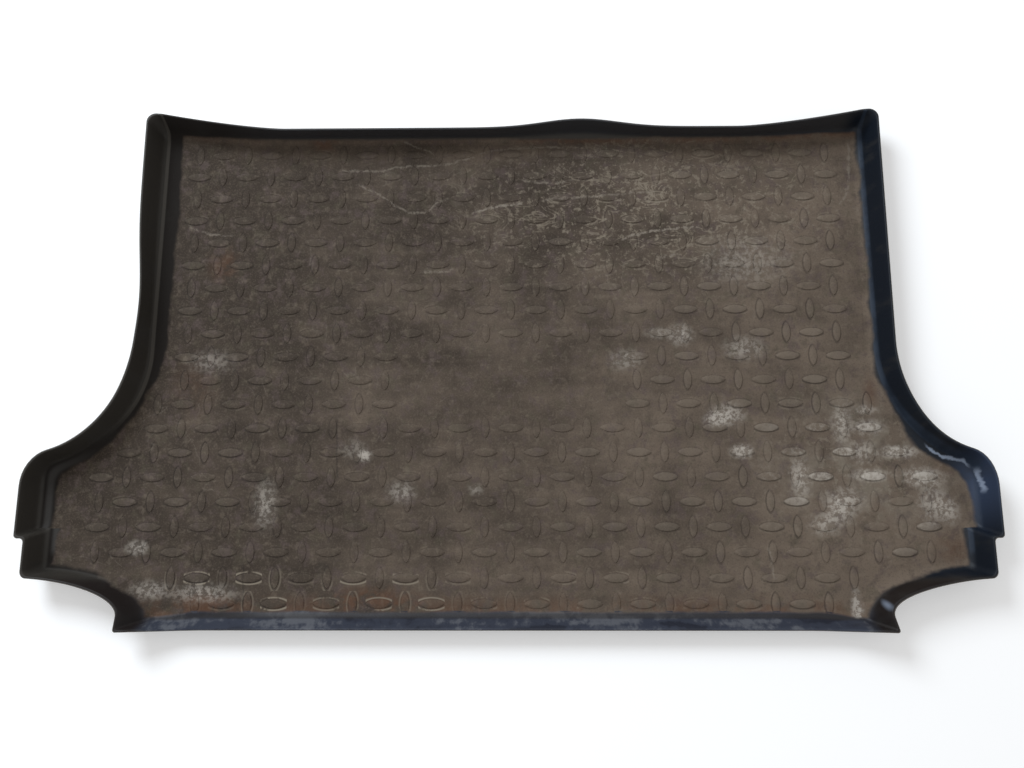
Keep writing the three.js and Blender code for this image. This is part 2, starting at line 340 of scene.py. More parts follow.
class Net:
    # Adds nodes to one tree
    def __init__(self, tree):
        self.tree = tree

    def add(self, kind, settings=None, sockets=None, out=0):
        made = self.tree.nodes.new(kind)
        for name, value in (settings or {}).items():
            if name == "stops":
                self.setStops(made.color_ramp, value)
            elif name == "points":
                self.setPoints(made.mapping, value)
            else:
                setattr(made, name, value)
        for name, value in (sockets or {}).items():
            for one in value if isinstance(value, list) else [value]:
                if isinstance(one, Wire):
                    self.tree.links.new(one.socket, made.inputs[name])
                else:
                    made.inputs[name].default_value = one
        return Wire(self, made.outputs[out]) if made.outputs else made

    def setStops(self, ramp, stops):
        ramp.interpolation = "CONSTANT" if stops[0] == "steps" else "LINEAR"
        places = [stop for stop in stops if stop != "steps"]
        while len(ramp.elements) < len(places):
            ramp.elements.new(1)
        for element, (position, level) in zip(ramp.elements, places):
            element.position = position
            element.color = (level, level, level, 1)

    def setPoints(self, mapping, points):
        curve = mapping.curves[0]
        while len(curve.points) < len(points):
            curve.points.new(0.5, 0.5)
        for point, place in zip(curve.points, points):
            point.location = place
            point.handle_type = "AUTO"
        mapping.update()

    def math(self, operation, *values):
        return self.add("ShaderNodeMath", {"operation": operation}, dict(enumerate(values)))

    def vector(self, operation, *values, out=0):
        return self.add("ShaderNodeVectorMath", {"operation": operation}, dict(enumerate(values)), out)

    def step(self, value, start, end, low=0, high=1):  # a smooth step between two values
        kinds = {"interpolation_type": "SMOOTHSTEP"}
        return self.add("ShaderNodeMapRange", kinds, {0: value, 1: start, 2: end, 3: low, 4: high})

    def mix(self, factor, first, second):
        return self.add("ShaderNodeMix", {"data_type": "RGBA"}, {0: factor, 6: first, 7: second}, 2)

    # Each shift reads another part of the noise
    def noise(self, place, size, detail=2, roughness=0.5, shift=0, stretched=(1, 1, 1), bend=0):
        moved = self.vector("ADD", place, (shift * 317, shift * 211, shift * 97))
        scaled = self.vector("MULTIPLY", moved, tuple(share / size for share in stretched))
        return self.add("ShaderNodeTexNoise", {"noise_dimensions": "2D"}, {
            "Vector": scaled, "Scale": 1, "Detail": detail, "Roughness": roughness, "Distortion": bend,
        })


# An empty tree for a material or a world
def clearNet(owner):
    owner.use_nodes = True
    owner.node_tree.nodes.clear()
    return Net(owner.node_tree)


def colour(red, green, blue):  # from the 0 to 255 of a screen
    def linear(value):
        value /= 255
        return value / 12.92 if value <= 0.04045 else ((value + 0.055) / 1.055) ** 2.4
    return linear(red), linear(green), linear(blue), 1


print("helpers ready")

# The tread's bars as geometry nodes, fused with the sheet
barInputs = [
    ("Geometry", "NodeSocketGeometry", None),
    ("Field", "NodeSocketObject", None),
    ("Finish", "NodeSocketMaterial", None),
    ("Column Pitch", "NodeSocketFloat", tread["columnPitch"] * mm),
    ("Row Pitch", "NodeSocketFloat", tread["rowPitch"] * mm),
    ("Columns", "NodeSocketInt", tread["columns"]),
    ("Rows", "NodeSocketInt", tread["rows"]),
    ("Lying Length", "NodeSocketFloat", tread["lyingLength"] * mm),
    ("Lying Width", "NodeSocketFloat", tread["lyingWidth"] * mm),
    ("Standing Length", "NodeSocketFloat", tread["standingLength"] * mm),
    ("Standing Width", "NodeSocketFloat", tread["standingWidth"] * mm),
    ("Bar Height", "NodeSocketFloat", tread["height"] * mm),
    ("Bar Sink", "NodeSocketFloat", tread["sink"] * mm),
    ("Panel Columns", "NodeSocketInt", tread["panelColumns"]),
    ("Panel First Row", "NodeSocketInt", tread["panelFirstRow"]),
    ("Panel Last Row", "NodeSocketInt", tread["panelLastRow"]),
    ("Middle", "NodeSocketVector", tuple(floorMiddle * mm)),
]


# Whether a place of the tread is clear of the plain panel in its middle
def offPanel(net, column, row, reach, firstRow, lastRow):
    outside = net.math("MAXIMUM", row < firstRow - 0.5, row > lastRow + 0.5)
    return net.math("MAXIMUM", abs(column) > reach + 0.5, outside)


def barTree():
    tree = bpy.data.node_groups.new("treadBars", "GeometryNodeTree")
    tree.is_modifier = True
    for name, kind, _ in barInputs:
        tree.interface.new_socket(name, in_out="INPUT", socket_type=kind)
    tree.interface.new_socket("Geometry", in_out="OUTPUT", socket_type="NodeSocketGeometry")
    net = Net(tree)
    given = net.add("NodeGroupInput")

    # One lying bar: a pointed lens with leaning flanks and a low crown
    disc = net.add("GeometryNodeMeshCircle", {"fill_type": "NGON"}, {
        "Vertices": tread["lensPoints"], "Radius": 1.0,
    })
    spot = net.add("ShaderNodeSeparateXYZ", None, {0: net.add("GeometryNodeInputPosition")})
    side = net.math("SIGN", spot.out("Y")) * abs(spot.out("Y")) ** tread["lensPower"]
    lensPlace = net.add("ShaderNodeCombineXYZ", None, {
        0: spot.out("X") * given.out("Lying Length") / 2,
        1: side * given.out("Lying Width") / 2,
        2: 0 - given.out("Bar Sink"),
    })
    base = net.add("GeometryNodeSetPosition", None, {"Geometry": disc, "Position": lensPlace})
    shoulderRise = given.out("Bar Height") * tread["shoulderHeight"] + given.out("Bar Sink")
    crownRise = given.out("Bar Height") * (1 - tread["shoulderHeight"])
    flank = net.add("GeometryNodeExtrudeMesh", {"mode": "FACES"}, {
        "Mesh": base, "Offset Scale": shoulderRise,
    })
    shoulder = net.add("GeometryNodeScaleElements", None, {
        "Geometry": flank, "Selection": flank.out("Top"), "Scale": tread["shoulder"],
    })
    crown = net.add("GeometryNodeExtrudeMesh", {"mode": "FACES"}, {
        "Mesh": shoulder, "Selection": flank.out("Top"), "Offset Scale": crownRise,
    })
    top = net.add("GeometryNodeScaleElements", None, {
        "Geometry": crown, "Selection": crown.out("Top"), "Scale": tread["top"] / tread["shoulder"],
    })
    sole = net.add("GeometryNodeFlipFaces", None, {"Mesh": base})
    shell = net.add("GeometryNodeJoinGeometry", None, {0: [top, sole]})
    lens = net.add("GeometryNodeMergeByDistance", None, {
        "Geometry": shell, "Distance": tread["weld"] * mm,
    })

    # The net of places, and which of them carry a bar
    columns, rows = given.out("Columns"), given.out("Rows")
    grid = net.add("GeometryNodeMeshGrid", None, {
        "Size X": given.out("Column Pitch") * (columns - 1), "Size Y": given.out("Row Pitch") * (rows - 1),
        "Vertices X": columns, "Vertices Y": rows,
    })
    laid = net.add("GeometryNodeSetPosition", None, {"Geometry": grid, "Offset": given.out("Middle")})
    place = net.add("GeometryNodeInputPosition")
    apart = net.add("ShaderNodeSeparateXYZ", None, {0: net.vector("SUBTRACT", place, given.out("Middle"))})
    column = net.math("ROUND", apart.out("X") / given.out("Column Pitch"))
    row = net.math("ROUND", apart.out("Y") / given.out("Row Pitch") + (rows - 1) / 2)
    above = net.vector("ADD", place, (0, 0, tread["rayStart"] * mm))
    target = net.add("GeometryNodeObjectInfo", None, {"Object": given.out("Field")}, "Geometry")
    hit = net.add("GeometryNodeRaycast", None, {
        "Target Geometry": target, "Source Position": above, "Ray Direction": (0, 0, -1),
        "Ray Length": tread["rayLength"] * mm,
    }, "Is Hit")
    panel = [given.out(name) for name in ("Panel Columns", "Panel First Row", "Panel Last Row")]
    clear = offPanel(net, column, row, *panel)
    lying = net.math("FLOORED_MODULO", column + row, 2)
    standing = 1 - lying
    turn = net.add("ShaderNodeCombineXYZ", None, {2: standing * (math.pi / 2)})
    lengthShare = lying + standing * given.out("Standing Length") / given.out("Lying Length")
    widthShare = lying + standing * given.out("Standing Width") / given.out("Lying Width")
    sizes = net.add("ShaderNodeCombineXYZ", None, {0: lengthShare, 1: widthShare, 2: 1})
    placed = net.add("GeometryNodeInstanceOnPoints", None, {
        "Points": laid, "Selection": hit * clear, "Instance": lens, "Rotation": turn, "Scale": sizes,
    })
    real = net.add("GeometryNodeRealizeInstances", None, {"Geometry": placed})
    bars = net.add("GeometryNodeStoreNamedAttribute", {"data_type": "FLOAT", "domain": "POINT"}, {
        "Geometry": real, "Name": "inner", "Value": 1.0,
    })
    fused = net.add("GeometryNodeMeshBoolean", {"operation": "UNION", "solver": "MANIFOLD"}, {
        "Mesh 2": [given.out("Geometry"), bars],
    })
    finished = net.add("GeometryNodeSetMaterial", None, {
        "Geometry": fused, "Material": given.out("Finish"),
    })
    net.add("NodeGroupOutput", None, {0: finished})
    return tree


# What lies on the rubber, in millimetres from the middle of the tread
marks = {
    # pale scuffs: points from end to end, half width, strength
    "scuffs": [
        ([(-163, 344), (-136, 333), (-116, 325), (-110, 311)], 1.3, 0.45),
        ([(-250, 299), (-198, 296), (-162, 303), (-104, 306), (-60, 317), (-16, 329), (79, 333)], 1.4, 0.5),
        ([(-223, 277), (-186, 256), (-161, 239), (-136, 231), (-103, 248), (-88, 254)], 1.4, 0.5),
        ([(-59, 228), (-30, 238), (20, 246)], 1.6, 0.85),
        ([(42, 250), (129, 256), (215, 263)], 1.4, 0.5),
        ([(156, 188), (206, 202), (271, 208)], 1.5, 0.85),
        ([(208, 161), (241, 168)], 2.0, 0.6),
        ([(-467, 215), (-434, 201), (-398, 197)], 1.4, 0.5),
        ([(-130, 142), (-94, 143), (-80, 150)], 1.5, 0.5),
        ([(491, 341), (486, 271), (470, 240)], 1.5, 0.5),
        ([(344, -245), (350, -291)], 1.3, 0.5),
        ([(13, 282), (49, 277), (93, 281)], 1.5, 0.5),
    ],
    # dark cracks in the dust
    "cracks": [
        ([(-240, -69), (-237, -156)], 1.2, 0.45),
        ([(-359, -264), (-355, -330)], 1.2, 0.45),
    ],
    # gleams on the rubber in the right hip
    "gleams": [
        ([(562, -109), (581, -124), (590, -128), (604, -130), (619, -141)], 1.6, 0.75),
        ([(622, -142), (628, -156), (630, -168), (630, -178)], 1.6, 0.7),
    ],
    "glints": [(487, -324, 4, 8, 0.5)],
    "hipShine": (626, -160, 34, 66),
    # chalky patches: x, y, reach across, reach along, strength
    "chalk": [
        (297, -67, 22, 14, 1.0), (280, -74, 14, 10, 0.8), (315, -118, 14, 9, 1.4),
        (489, -85, 20, 10, 0.9), (527, -119, 24, 8, 1.4), (486, -151, 22, 8, 1.2),
        (556, -154, 26, 12, 1.3), (392, -155, 13, 26, 0.9), (450, -185, 24, 16, 0.8),
        (570, -190, 20, 22, 0.9), (478, -119, 18, 14, 0.7), (440, -201, 18, 16, 0.9),
        (421, -218, 18, 14, 0.7), (453, -80, 12, 26, 0.8), (486, -61, 16, 6, 0.8),
        (590, -200, 12, 16, 0.7), (-216, -115, 18, 14, 0.3), (-200, -123, 9, 8, 1.1),
        (-148, -173, 18, 14, 0.6), (-48, -170, 10, 8, 0.4), (-333, -190, 14, 30, 0.7),
        (-503, -248, 14, 9, 1.0), (-481, -304, 22, 12, 0.7), (-410, -308, 44, 12, 0.7),
        (456, -330, 7, 24, 1.4), (237, 47, 16, 14, 0.8), (205, 50, 16, 8, 0.5), (325, 28, 26, 16, 0.6),
        (159, 11, 22, 14, 0.5), (333, 157, 60, 34, 0.35), (-420, 10, 30, 16, 0.4),
    ],
    # brown stains
    "stains": [
        (-409, 153, 26, 30, 0.7), (-273, 339, 22, 14, 0.8), (495, -40, 12, 30, 0.8),
        (589, -130, 26, 26, 0.7), (-440, -20, 40, 50, 0.3), (590, -250, 34, 26, 0.6),
        (-187, -314, 70, 18, 1.0), (-413, -317, 60, 16, 0.7),
    ],
    "chalkZone": (480, -140, 150, 110), "scuffZone": (200, 235, 300, 130),
    # how far the bare rubber reaches in from the side walls' foot, from the tail to the front
    "bareLeft": [
        (-370, -8), (-320, -9), (-292, -6), (-272, 2), (-230, 5), (-212, 12), (-170, 12), (-120, 8),
        (-60, 4), (0, 13), (60, 18), (370, 19),
    ],
    "bareRight": [
        (-370, -6), (-300, -5), (-275, -1), (-215, 1), (-165, 4), (-130, 9), (-95, 5), (-40, -1), (370, -1),
    ],
}

# Where one look gives way to the next, in the same millimetres
zones = {
    "left": (-300, -440), "right": (300, 440), "forward": (-262, -248), "hip": (-110, -150),
    "cut": (-284, -298), "cutWidth": (440, 480), "tail": (-322, -334), "tailWidth": (486, 462),
    "front": (290, 310), "frontRise": (4, 9), "frontWidth": (500, 470), "leftFold": (-110, -30),
    "lowRows": (-262, -300), "lowRowsAcross": (-20, -160), "atFront": (15, 3), "atTail": (34, 4),
    "tailFoldShadeBand": (5, 0), "tailFoldShadeRise": (9, 4), "onFloor": (7, 3.5), "dustSide": (0, 6), "dustEnd": (1, 6),
}

# The noises: size in millimetres, detail, roughness, shift, stretch, bend
noises = {
    "coarse": (160, 2, 0.55), "patchy": (46, 3, 0.6, 1), "mottled": (13, 3, 0.65, 2),
    "grain": (2.4, 1, 0.6, 3), "wiped": (60, 2, 0.6, 4, (0.35, 2.2, 1)), "hues": (24, 3, 0.7, 5),
    "flakes": (7, 3, 0.7, 6), "dragged": (90, 2, 0.45, 10, (1, 1, 1), 0.6), "uneven": (55, 2, 0.5, 12),
    "veins": (34, 3, 0.6, 13, (0.7, 1.3, 1), 1.2),
}

# Tints of the dust and of the bare rubber, with painted light and shade on the rubber, from the 0 to 255 of
# a screen
tints = {
    "dark": (56, 48, 41), "light": (107, 94, 82), "lilac": (83, 71, 68), "olive": (78, 72, 59),
    "worn": (58, 50, 44), "mottle": (105, 93, 81), "haze": (126, 118, 106), "stain": (88, 61, 45),
    "line": (36, 32, 29), "top": (116, 106, 94), "caught": (128, 118, 104), "crack": (33, 30, 28),
    "scuff": (126, 117, 106), "chalk": (174, 166, 156),
    # Painted light and shade on the bare rubber: the sky's blue on the right wall, hip and tail lip, a lift
    # on the front wall, shade at the left foot, highlights on the foot fillets and gleams in the right hip
    "rubber": (46, 43, 39), "rightRubber": (11, 18, 27), "cutRubber": (23, 18, 17),
    "frontRubber": (46, 46, 48), "hipRubber": (46, 57, 77), "footRubber": (25, 21, 18),
    "tailSkyBlue": (46, 50, 61), "tailPale": (82, 84, 90), "tailDark": (31, 34, 44),
    "fold": (88, 84, 78), "film": (46, 44, 42), "hipStripe": (72, 70, 68), "rightStripe": (42, 52, 66),
    "gleam": (160, 172, 192), "rim": (106, 101, 94),
}
tint = {name: colour(*screen) for name, screen in tints.items()}

# The dust's edge, in millimetres: how ragged it is, and how far it climbs the walls for each one of reach
dustEdge = {"margin": 2, "ragged": 12, "endRagged": 5, "climb": 1.3, "wobble": 7, "footBand": 5}

# The surface: how rough the rubber is, what is added to that, and its relief
surface = {
    "roughness": 0.5, "dustRoughness": 0.4, "filmRoughness": 0.1, "rimRoughness": 0.2, "specular": 0.22,
    "bumpStrength": 0.45, "bumpDistance": 1, "grainBump": 0.25, "mottledBump": 0.3, "unevenBump": 2,
}


# How far a place on the floor is from the foot of the sides, of the front and of the tail
def footDistances(net, x, y):
    t = tray
    rear = net.step(0 - y, t["rearShiftStart"], t["rearShiftStart"] + t["rearShiftRun"])
    width = abs(x + rear * t["rearShift"])
    radius = t["archCurve"] / math.tan(math.radians(90 - t["archSlope"]) / 2)
    rise = (t["wideHalf"] - t["narrowHalf"]) * math.tan(math.radians(t["archSlope"]))
    archWay = net.add("ShaderNodeCombineXYZ", None, {
        0: width - (t["narrowHalf"] + radius),
        1: net.math("MINIMUM", y - (t["archCurve"] - t["archEnd"] + rise), 0),
    })
    throat = net.vector("LENGTH", archWay, out="Value") - radius
    wide = t["wideHalf"] - width - (y < -t["ledgeEdge"]) * t["ledgeDepth"]
    sides = net.math("SMOOTH_MIN", throat, wide, t["hipCorner"])

    cutArc = cornerArcs(0, 0)[beakCorner - 1]
    start, lean = cutArc[-1], math.tan(math.radians(t["shoulderSlope"]))
    across = cutArc[0].x - start.x
    along = cutArc[0].y - start.y - across * lean
    cutWay = net.add("ShaderNodeCombineXYZ", None, {
        0: net.math("MINIMUM", width - (start.x + across), 0) / across,
        1: net.math("MAXIMUM", y - (width - start.x) * lean - start.y, 0) / along,
    })
    share = net.vector("LENGTH", cutWay, out="Value")
    steep = net.vector("LENGTH", net.vector("DIVIDE", cutWay, (across, along, 1)), out="Value")
    cut = share * (share - 1) / (steep + 0.0001)  # near enough the distance from an ellipse

    pullEnd = t["narrowHalf"] - t["pullRun"]
    pulled = net.step(width, t["narrowHalf"], pullEnd, 0, t["pullIn"] * t["pullAtFoot"])
    front = t["frontEdge"] - y - pulled
    dropped = net.step(width, t["beakHalf"] - t["tailDropRun"], t["beakHalf"], 0, t["tailDrop"])
    return width, net.math("MINIMUM", sides, cut), front, y + t["tailEdge"] + dropped


# The lens-shaped bar nearest to a place
def nearestBar(net, x, y):
    t = tread
    middleRow = (t["rows"] - 1) / 2
    column = net.math("ROUND", x / t["columnPitch"])
    row = net.math("ROUND", y / t["rowPitch"] + middleRow)
    fromColumn = x - column * t["columnPitch"]
    fromRow = y - (row - middleRow) * t["rowPitch"]
    lying = net.math("FLOORED_MODULO", column + row, 2)
    standing = 1 - lying
    along = fromColumn * lying + fromRow * standing
    sideways = fromRow * lying + fromColumn * standing
    halfLength = (lying * t["lyingLength"] + standing * t["standingLength"]) / 2
    halfWidth = (lying * t["lyingWidth"] + standing * t["standingWidth"]) / 2
    share = (along / halfLength) ** 2 + (abs(sideways) / halfWidth) ** (2 / t["lensPower"])
    beside = (share - 1) * halfWidth * 0.6  # about how far outside its edge
    chance = net.add("ShaderNodeTexWhiteNoise", {"noise_dimensions": "2D"}, {
        "Vector": net.add("ShaderNodeCombineXYZ", None, {0: column, 1: row}),
    }, "Value")
    stops = ["steps"] + [(first / t["rows"], reach / t["rows"]) for first, reach in t["rowReach"]]
    reach = net.add("ShaderNodeValToRGB", {"stops": stops}, {0: (row + 0.5) / t["rows"]}) * t["rows"]
    within = (abs(column) < reach + 0.5) * (row > -0.5) * (row < t["rows"] - 0.5)
    clear = offPanel(net, column, row, t["panelColumns"], t["panelFirstRow"], t["panelLastRow"])
    return lying, sideways, beside, chance, within * clear


class Chart:
    # Draws marks at places given in millimetres
    def __init__(self, net, place, x, y, wobble):
        self.net = net
        self.place = place
        self.x = x
        self.y = y
        self.wobble = wobble

    def blob(self, x, y, reachX, reachY, strength=1, edge=1.3):
        near = self.net.vector("SUBTRACT", self.place, (x, y, 0))
        near = self.net.vector("MULTIPLY", near, (1 / reachX, 1 / reachY, 0))
        return self.net.step(self.net.vector("LENGTH", near, out="Value"), edge, 0, 0, strength)

    def blobs(self, spots, edge=1.3):
        total = self.blob(*spots[0], edge)
        for one in spots[1:]:
            total = total + self.blob(*one, edge)
        return total

    def curve(self, run, points):  # the height, over run, of a curve through the points
        start, end = points[0][0], points[-1][0]
        low = min(p[1] for p in points) - 1
        high = max(p[1] for p in points) + 1
        knots = [((a - start) / (end - start), (b - low) / (high - low)) for a, b in points]
        share = (run - start) / (end - start)
        path = self.net.add("ShaderNodeFloatCurve", {"points": knots}, {"Value": share})
        return self.net.math("MULTIPLY_ADD", path, high - low, low)

    # A soft-edged line through the points that fades out at both ends
    def stroke(self, points, reach, strength):
        long = abs(points[-1][0] - points[0][0]) >= abs(points[-1][1] - points[0][1])
        run, side = (self.x, self.y) if long else (self.y, self.x)
        ordered = sorted((p if long else p[::-1]) for p in points)
        start, end = ordered[0][0], ordered[-1][0]
        off = abs(side + self.wobble - self.curve(run, ordered))
        window = self.net.step(run, start - 2, start + 8) * self.net.step(run, end + 2, end - 8)
        return self.net.step(off, reach * 1.9, reach * 0.3, 0, strength) * window

    def strokes(self, lines):
        total = self.stroke(*lines[0])
        for one in lines[1:]:
            total = self.net.math("MAXIMUM", total, self.stroke(*one))
        return total


class Ground:
    # What every layer of the finish reads: the place, noises, distances from the walls' foot and zones
    def __init__(self, net):
        place = net.add("ShaderNodeMapping", {"vector_type": "POINT"}, {
            "Vector": net.add("ShaderNodeTexCoord", out="Object"),
            "Location": tuple(-floorMiddle), "Scale": (1 / mm, 1 / mm, 1 / mm),
        })
        spot = net.add("ShaderNodeSeparateXYZ", None, {0: place})
        x, y, z = spot.out("X"), spot.out("Y"), spot.out("Z")
        self.x, self.y, self.z = x, y, z
        self.noises = {name: net.noise(place, *facts) for name, facts in noises.items()}
        uneven = self.noises["patchy"] - 0.5
        self.chart = Chart(net, place, x, y, (self.noises["mottled"] - 0.5) * dustEdge["wobble"])

        self.width, self.across, self.front, self.tail = footDistances(net, x, y)
        ends = net.math("MINIMUM", self.front, self.tail)
        innerWall = net.add("ShaderNodeAttribute", {"attribute_name": "inner"}, out="Fac")
        floor = (z > -1) * (net.math("MINIMUM", self.across, ends) > dustEdge["footBand"])
        self.inner = net.math("MAXIMUM", innerWall, floor)
        self.leftSide, self.rightSide = net.step(x, *zones["left"]), net.step(x, *zones["right"])

        # Where the dust lies: it thins out towards the walls and climbs them in the cut-outs
        bareLeft = self.chart.curve(y, marks["bareLeft"]) * self.leftSide
        bareRight = self.chart.curve(y, marks["bareRight"]) * self.rightSide
        bare = bareLeft + bareRight + dustEdge["margin"] + uneven * dustEdge["ragged"]
        climb = net.math("MAXIMUM", 0 - bare, 0) * dustEdge["climb"]
        self.onFloor = net.step(z - climb, *zones["onFloor"]) * self.inner
        offEnds = net.step(ends - uneven * dustEdge["endRagged"], *zones["dustEnd"])
        self.dusty = net.step(self.across - bare, *zones["dustSide"]) * offEnds * self.onFloor


# Lays colours over a base: each is where it lies, how much it covers there, and a tint or a made colour
def overlaid(net, base, layers):
    for where, share, over in layers:
        base = net.mix(where * share, base, tint[over] if isinstance(over, str) else over)
    return base


# Dust: brown to grey, paler to the lower right, streaked and mottled
def dustColour(net, ground):
    noise, x, y = ground.noises, ground.x, ground.y
    mottled, grain = noise["mottled"], noise["grain"]
    hues = net.add("ShaderNodeSeparateColor", None, {0: noise["hues"].out("Color")})
    paler = x / 1400 - y / 2400 + (noise["coarse"] - 0.5) * 0.8 + (noise["patchy"] - 0.5) * 0.48
    paler = paler + (noise["wiped"] - 0.5) * 0.5 + 0.39
    # Painted light: the dust is painted paler near the front wall, lifting the shade that wall casts
    paler = paler + net.step(ground.front, 70, 5) * net.step(x, 0, 150, 0.4, 0.15)
    return overlaid(net, net.mix(net.step(paler, 0, 1), tint["dark"], tint["light"]), [
        (net.step(hues.out("Red"), 0.5, 0.72), 0.6, "lilac"),
        (net.step(hues.out("Green"), 0.52, 0.75), 0.45, "olive"),
        (net.step(mottled, 0.52, 0.76), 0.3, "mottle"),
        (net.step(hues.out("Blue"), 0.48, 0.3), 0.28, "worn"),
        (net.step(grain, 0.52, 0.8), 0.3, "mottle"),
        (net.step(grain, 0.46, 0.2), 0.3, "worn"),
    ])


# The dust with the stains, scuffs, cracks and chalk in it and with its bars
def markedColour(net, ground, dust):
    chart, noise, x, y = ground.chart, ground.noises, ground.x, ground.y
    coarse, patchy, mottled, flakes = (noise[name] for name in ("coarse", "patchy", "mottled", "flakes"))
    chalkZone, scuffZone = chart.blob(*marks["chalkZone"]), chart.blob(*marks["scuffZone"])
    rough = flakes + (mottled - 0.5) * 0.6
    broken = net.step(flakes, 0.34, 0.58)
    chalk = chart.blobs(marks["chalk"], 1.6) * (0.2 + net.step(rough, 0.38, 0.62) * 0.8)
    haze = chalkZone * net.step(patchy + (mottled - 0.5) * 0.5, 0.38, 0.68)
    atFront = net.step(ground.front, *zones["atFront"]) * net.step(x, -20, 60, 0.25, 0.9)
    stained = chart.blobs(marks["stains"]) + atFront + net.step(ground.tail, *zones["atTail"]) * 0.75
    stained = net.math("MINIMUM", stained * net.step(patchy + (mottled - 0.5) * 0.6, 0.3, 0.6), 1)
    flecks = net.step(rough, 0.57, 0.7) * (0.14 + scuffZone * 0.8 + chalkZone * 0.6)
    veins = net.step(abs(noise["veins"] - 0.5), 0.035, 0.005)
    veins = veins * net.step(patchy + (flakes - 0.5) * 0.5, 0.42, 0.6) * (0.1 + scuffZone)
    dragged = net.step(abs(noise["dragged"] - 0.5), 0.008, 0) * broken
    dragged = dragged * net.step(coarse + scuffZone * 0.12, 0.5, 0.62)

    # Bars: paler on top to the right, a thin line of painted shade under each and dust caught beside it
    lying, sideways, beside, chance, barHere = nearestBar(net, x, y)
    barHere = barHere * ground.onFloor
    seen = (0.14 + net.step(ground.width, 80, 420, 0, 0.4)) * (0.4 + chance * 0.8)
    seen = seen * net.step(ground.front, 20, 160, 0.45, 1)
    # Painted shade: a dark line round the foot of each bar, stronger on one side of it
    contour = net.step(beside, -1.3, 0) * net.step(beside, 1.5, 0.4) * barHere * seen
    contour = contour * net.step(sideways, 2, -2, 0.4, 1)
    lowRows = net.step(y + (coarse - 0.5) * 60, *zones["lowRows"])
    lowRows = lowRows * net.step(x, *zones["lowRowsAcross"], 0.3, 1)
    halo = net.step(beside, 0.3, 1.2) * net.step(beside, 4, 1.6) * barHere * (0.35 + lying * 0.65)
    caught = net.step(patchy + lowRows * 0.3 + scuffZone * 0.12 + (flakes - 0.5) * 0.5, 0.55, 0.72)
    chances = 0.2 + lowRows * net.step(chance, 0.15, 0.6) + scuffZone * 0.4 + chalkZone * 0.2
    onTop = net.step(beside, 0, -1.2) * barHere
    topShare = (net.step(x, -150, 350, 0.06, 0.34) + ground.leftSide * 0.1) * (0.35 + chance * 0.8)
    chalkTop = onTop * lying * chalkZone * net.step(chance + (flakes - 0.5) * 1.2, 0.35, 1)

    return overlaid(net, dust, [
        (stained, 0.7, "stain"),
        (haze, 0.5, "haze"),
        (onTop * topShare * (0.5 + lying * 0.5), 1, "top"),
        (flecks, 0.7, "caught"),
        (veins, 0.75, "caught"),
        (halo * caught * chances, 1, "caught"),
        (chalkTop, 0.85, "chalk"),
        (contour, 0.8, "line"),
        (chart.strokes(marks["cracks"]), 0.8, "crack"),
        (dragged, 0.2, "scuff"),
        (chart.strokes(marks["scuffs"]) * broken, 1, "scuff"),
        (net.math("MINIMUM", chalk, 1), 0.8, "chalk"),
    ])


# Bare rubber on the walls, with painted light: the sky's blue painted on the right wall, the right hip and
# the tail lip, painted highlights and gleams on the feet of the walls, and painted shade at the left foot
# and at the tail lip's foot
def wallColour(net, ground, shadedFoot, film, trimmed):
    chart, noise, x, y, z = ground.chart, ground.noises, ground.x, ground.y, ground.z
    width, across, inner, leftSide = ground.width, ground.across, ground.inner, ground.leftSide
    patchy, mottled, wiped = noise["patchy"], noise["mottled"], noise["wiped"]
    forward = net.step(y, *zones["forward"])
    right = ground.rightSide * net.step(y, *reversed(zones["cut"]))
    cut = net.step(y, *zones["cut"]) * net.step(width, *zones["cutWidth"])
    front = net.step(y, *zones["front"]) * net.step(z, *zones["frontRise"])
    front = front * net.step(width, *zones["frontWidth"])
    tailSide = net.step(y, *zones["tail"]) * net.step(width, *zones["tailWidth"])
    fold = net.step(across, -4, -2) * net.step(across, 3, 1) * inner
    line = net.step(across, 0, 2) * net.step(across, 6, 4) * inner
    hipStripe = net.step(across, 2, 7) * net.step(across, 16, 9) * inner
    hip = forward * net.step(y, *zones["hip"])
    gleam = (chart.strokes(marks["gleams"]) + chart.blobs(marks["glints"])) * inner
    # Painted shade: a dark band low on the tail lip, at its fold with the floor
    tailFoldShade = net.step(ground.tail, *zones["tailFoldShadeBand"]) * net.step(z, *zones["tailFoldShadeRise"]) * tailSide
    # Painted light: the tail lip's blue-grey is painted sky light, with paler and darker patches
    lip = net.mix(net.step(wiped + (mottled - 0.5) * 0.5, 0.5, 0.68), tint["tailSkyBlue"], tint["tailPale"])
    lip = net.mix(net.step(wiped + (mottled - 0.5) * 0.3, 0.47, 0.36), lip, tint["tailDark"])
    return overlaid(net, tint["rubber"], [
        # Painted light: the sky's blue painted on the right wall
        (right, 1, "rightRubber"),
        (cut, 1, "cutRubber"),
        # Painted light: the front wall painted lighter than the rest of the rubber
        (front, 1, "frontRubber"),
        # Painted shade: a darker band of rubber at the foot of the left wall
        (shadedFoot, 1, "footRubber"),
        # Painted sheen: blue sky light painted on the right hip's wall
        (chart.blob(*marks["hipShine"]) * forward, 1, "hipRubber"),
        (film, 0.35, "film"),
        (tailSide, 1, lip),
        # Painted highlight: a pale stripe on the left wall's foot fillet
        (line * leftSide * net.step(y, *zones["leftFold"]), 0.5, "fold"),
        # Painted highlight: a pale stripe on the left hip's foot fillet
        (hipStripe * leftSide * hip, 0.6, "hipStripe"),
        # Painted highlight: a thin bluish stripe along the right wall's foot
        (fold * ground.rightSide * forward * net.step(patchy, 0.35, 0.65, 0.25, 0.7), 1, "rightStripe"),
        (net.math("MINIMUM", gleam, 1), 0.85, "gleam"),
        (tailFoldShade, 0.7, "line"),
        (trimmed, 0.8, "rim"),
    ])


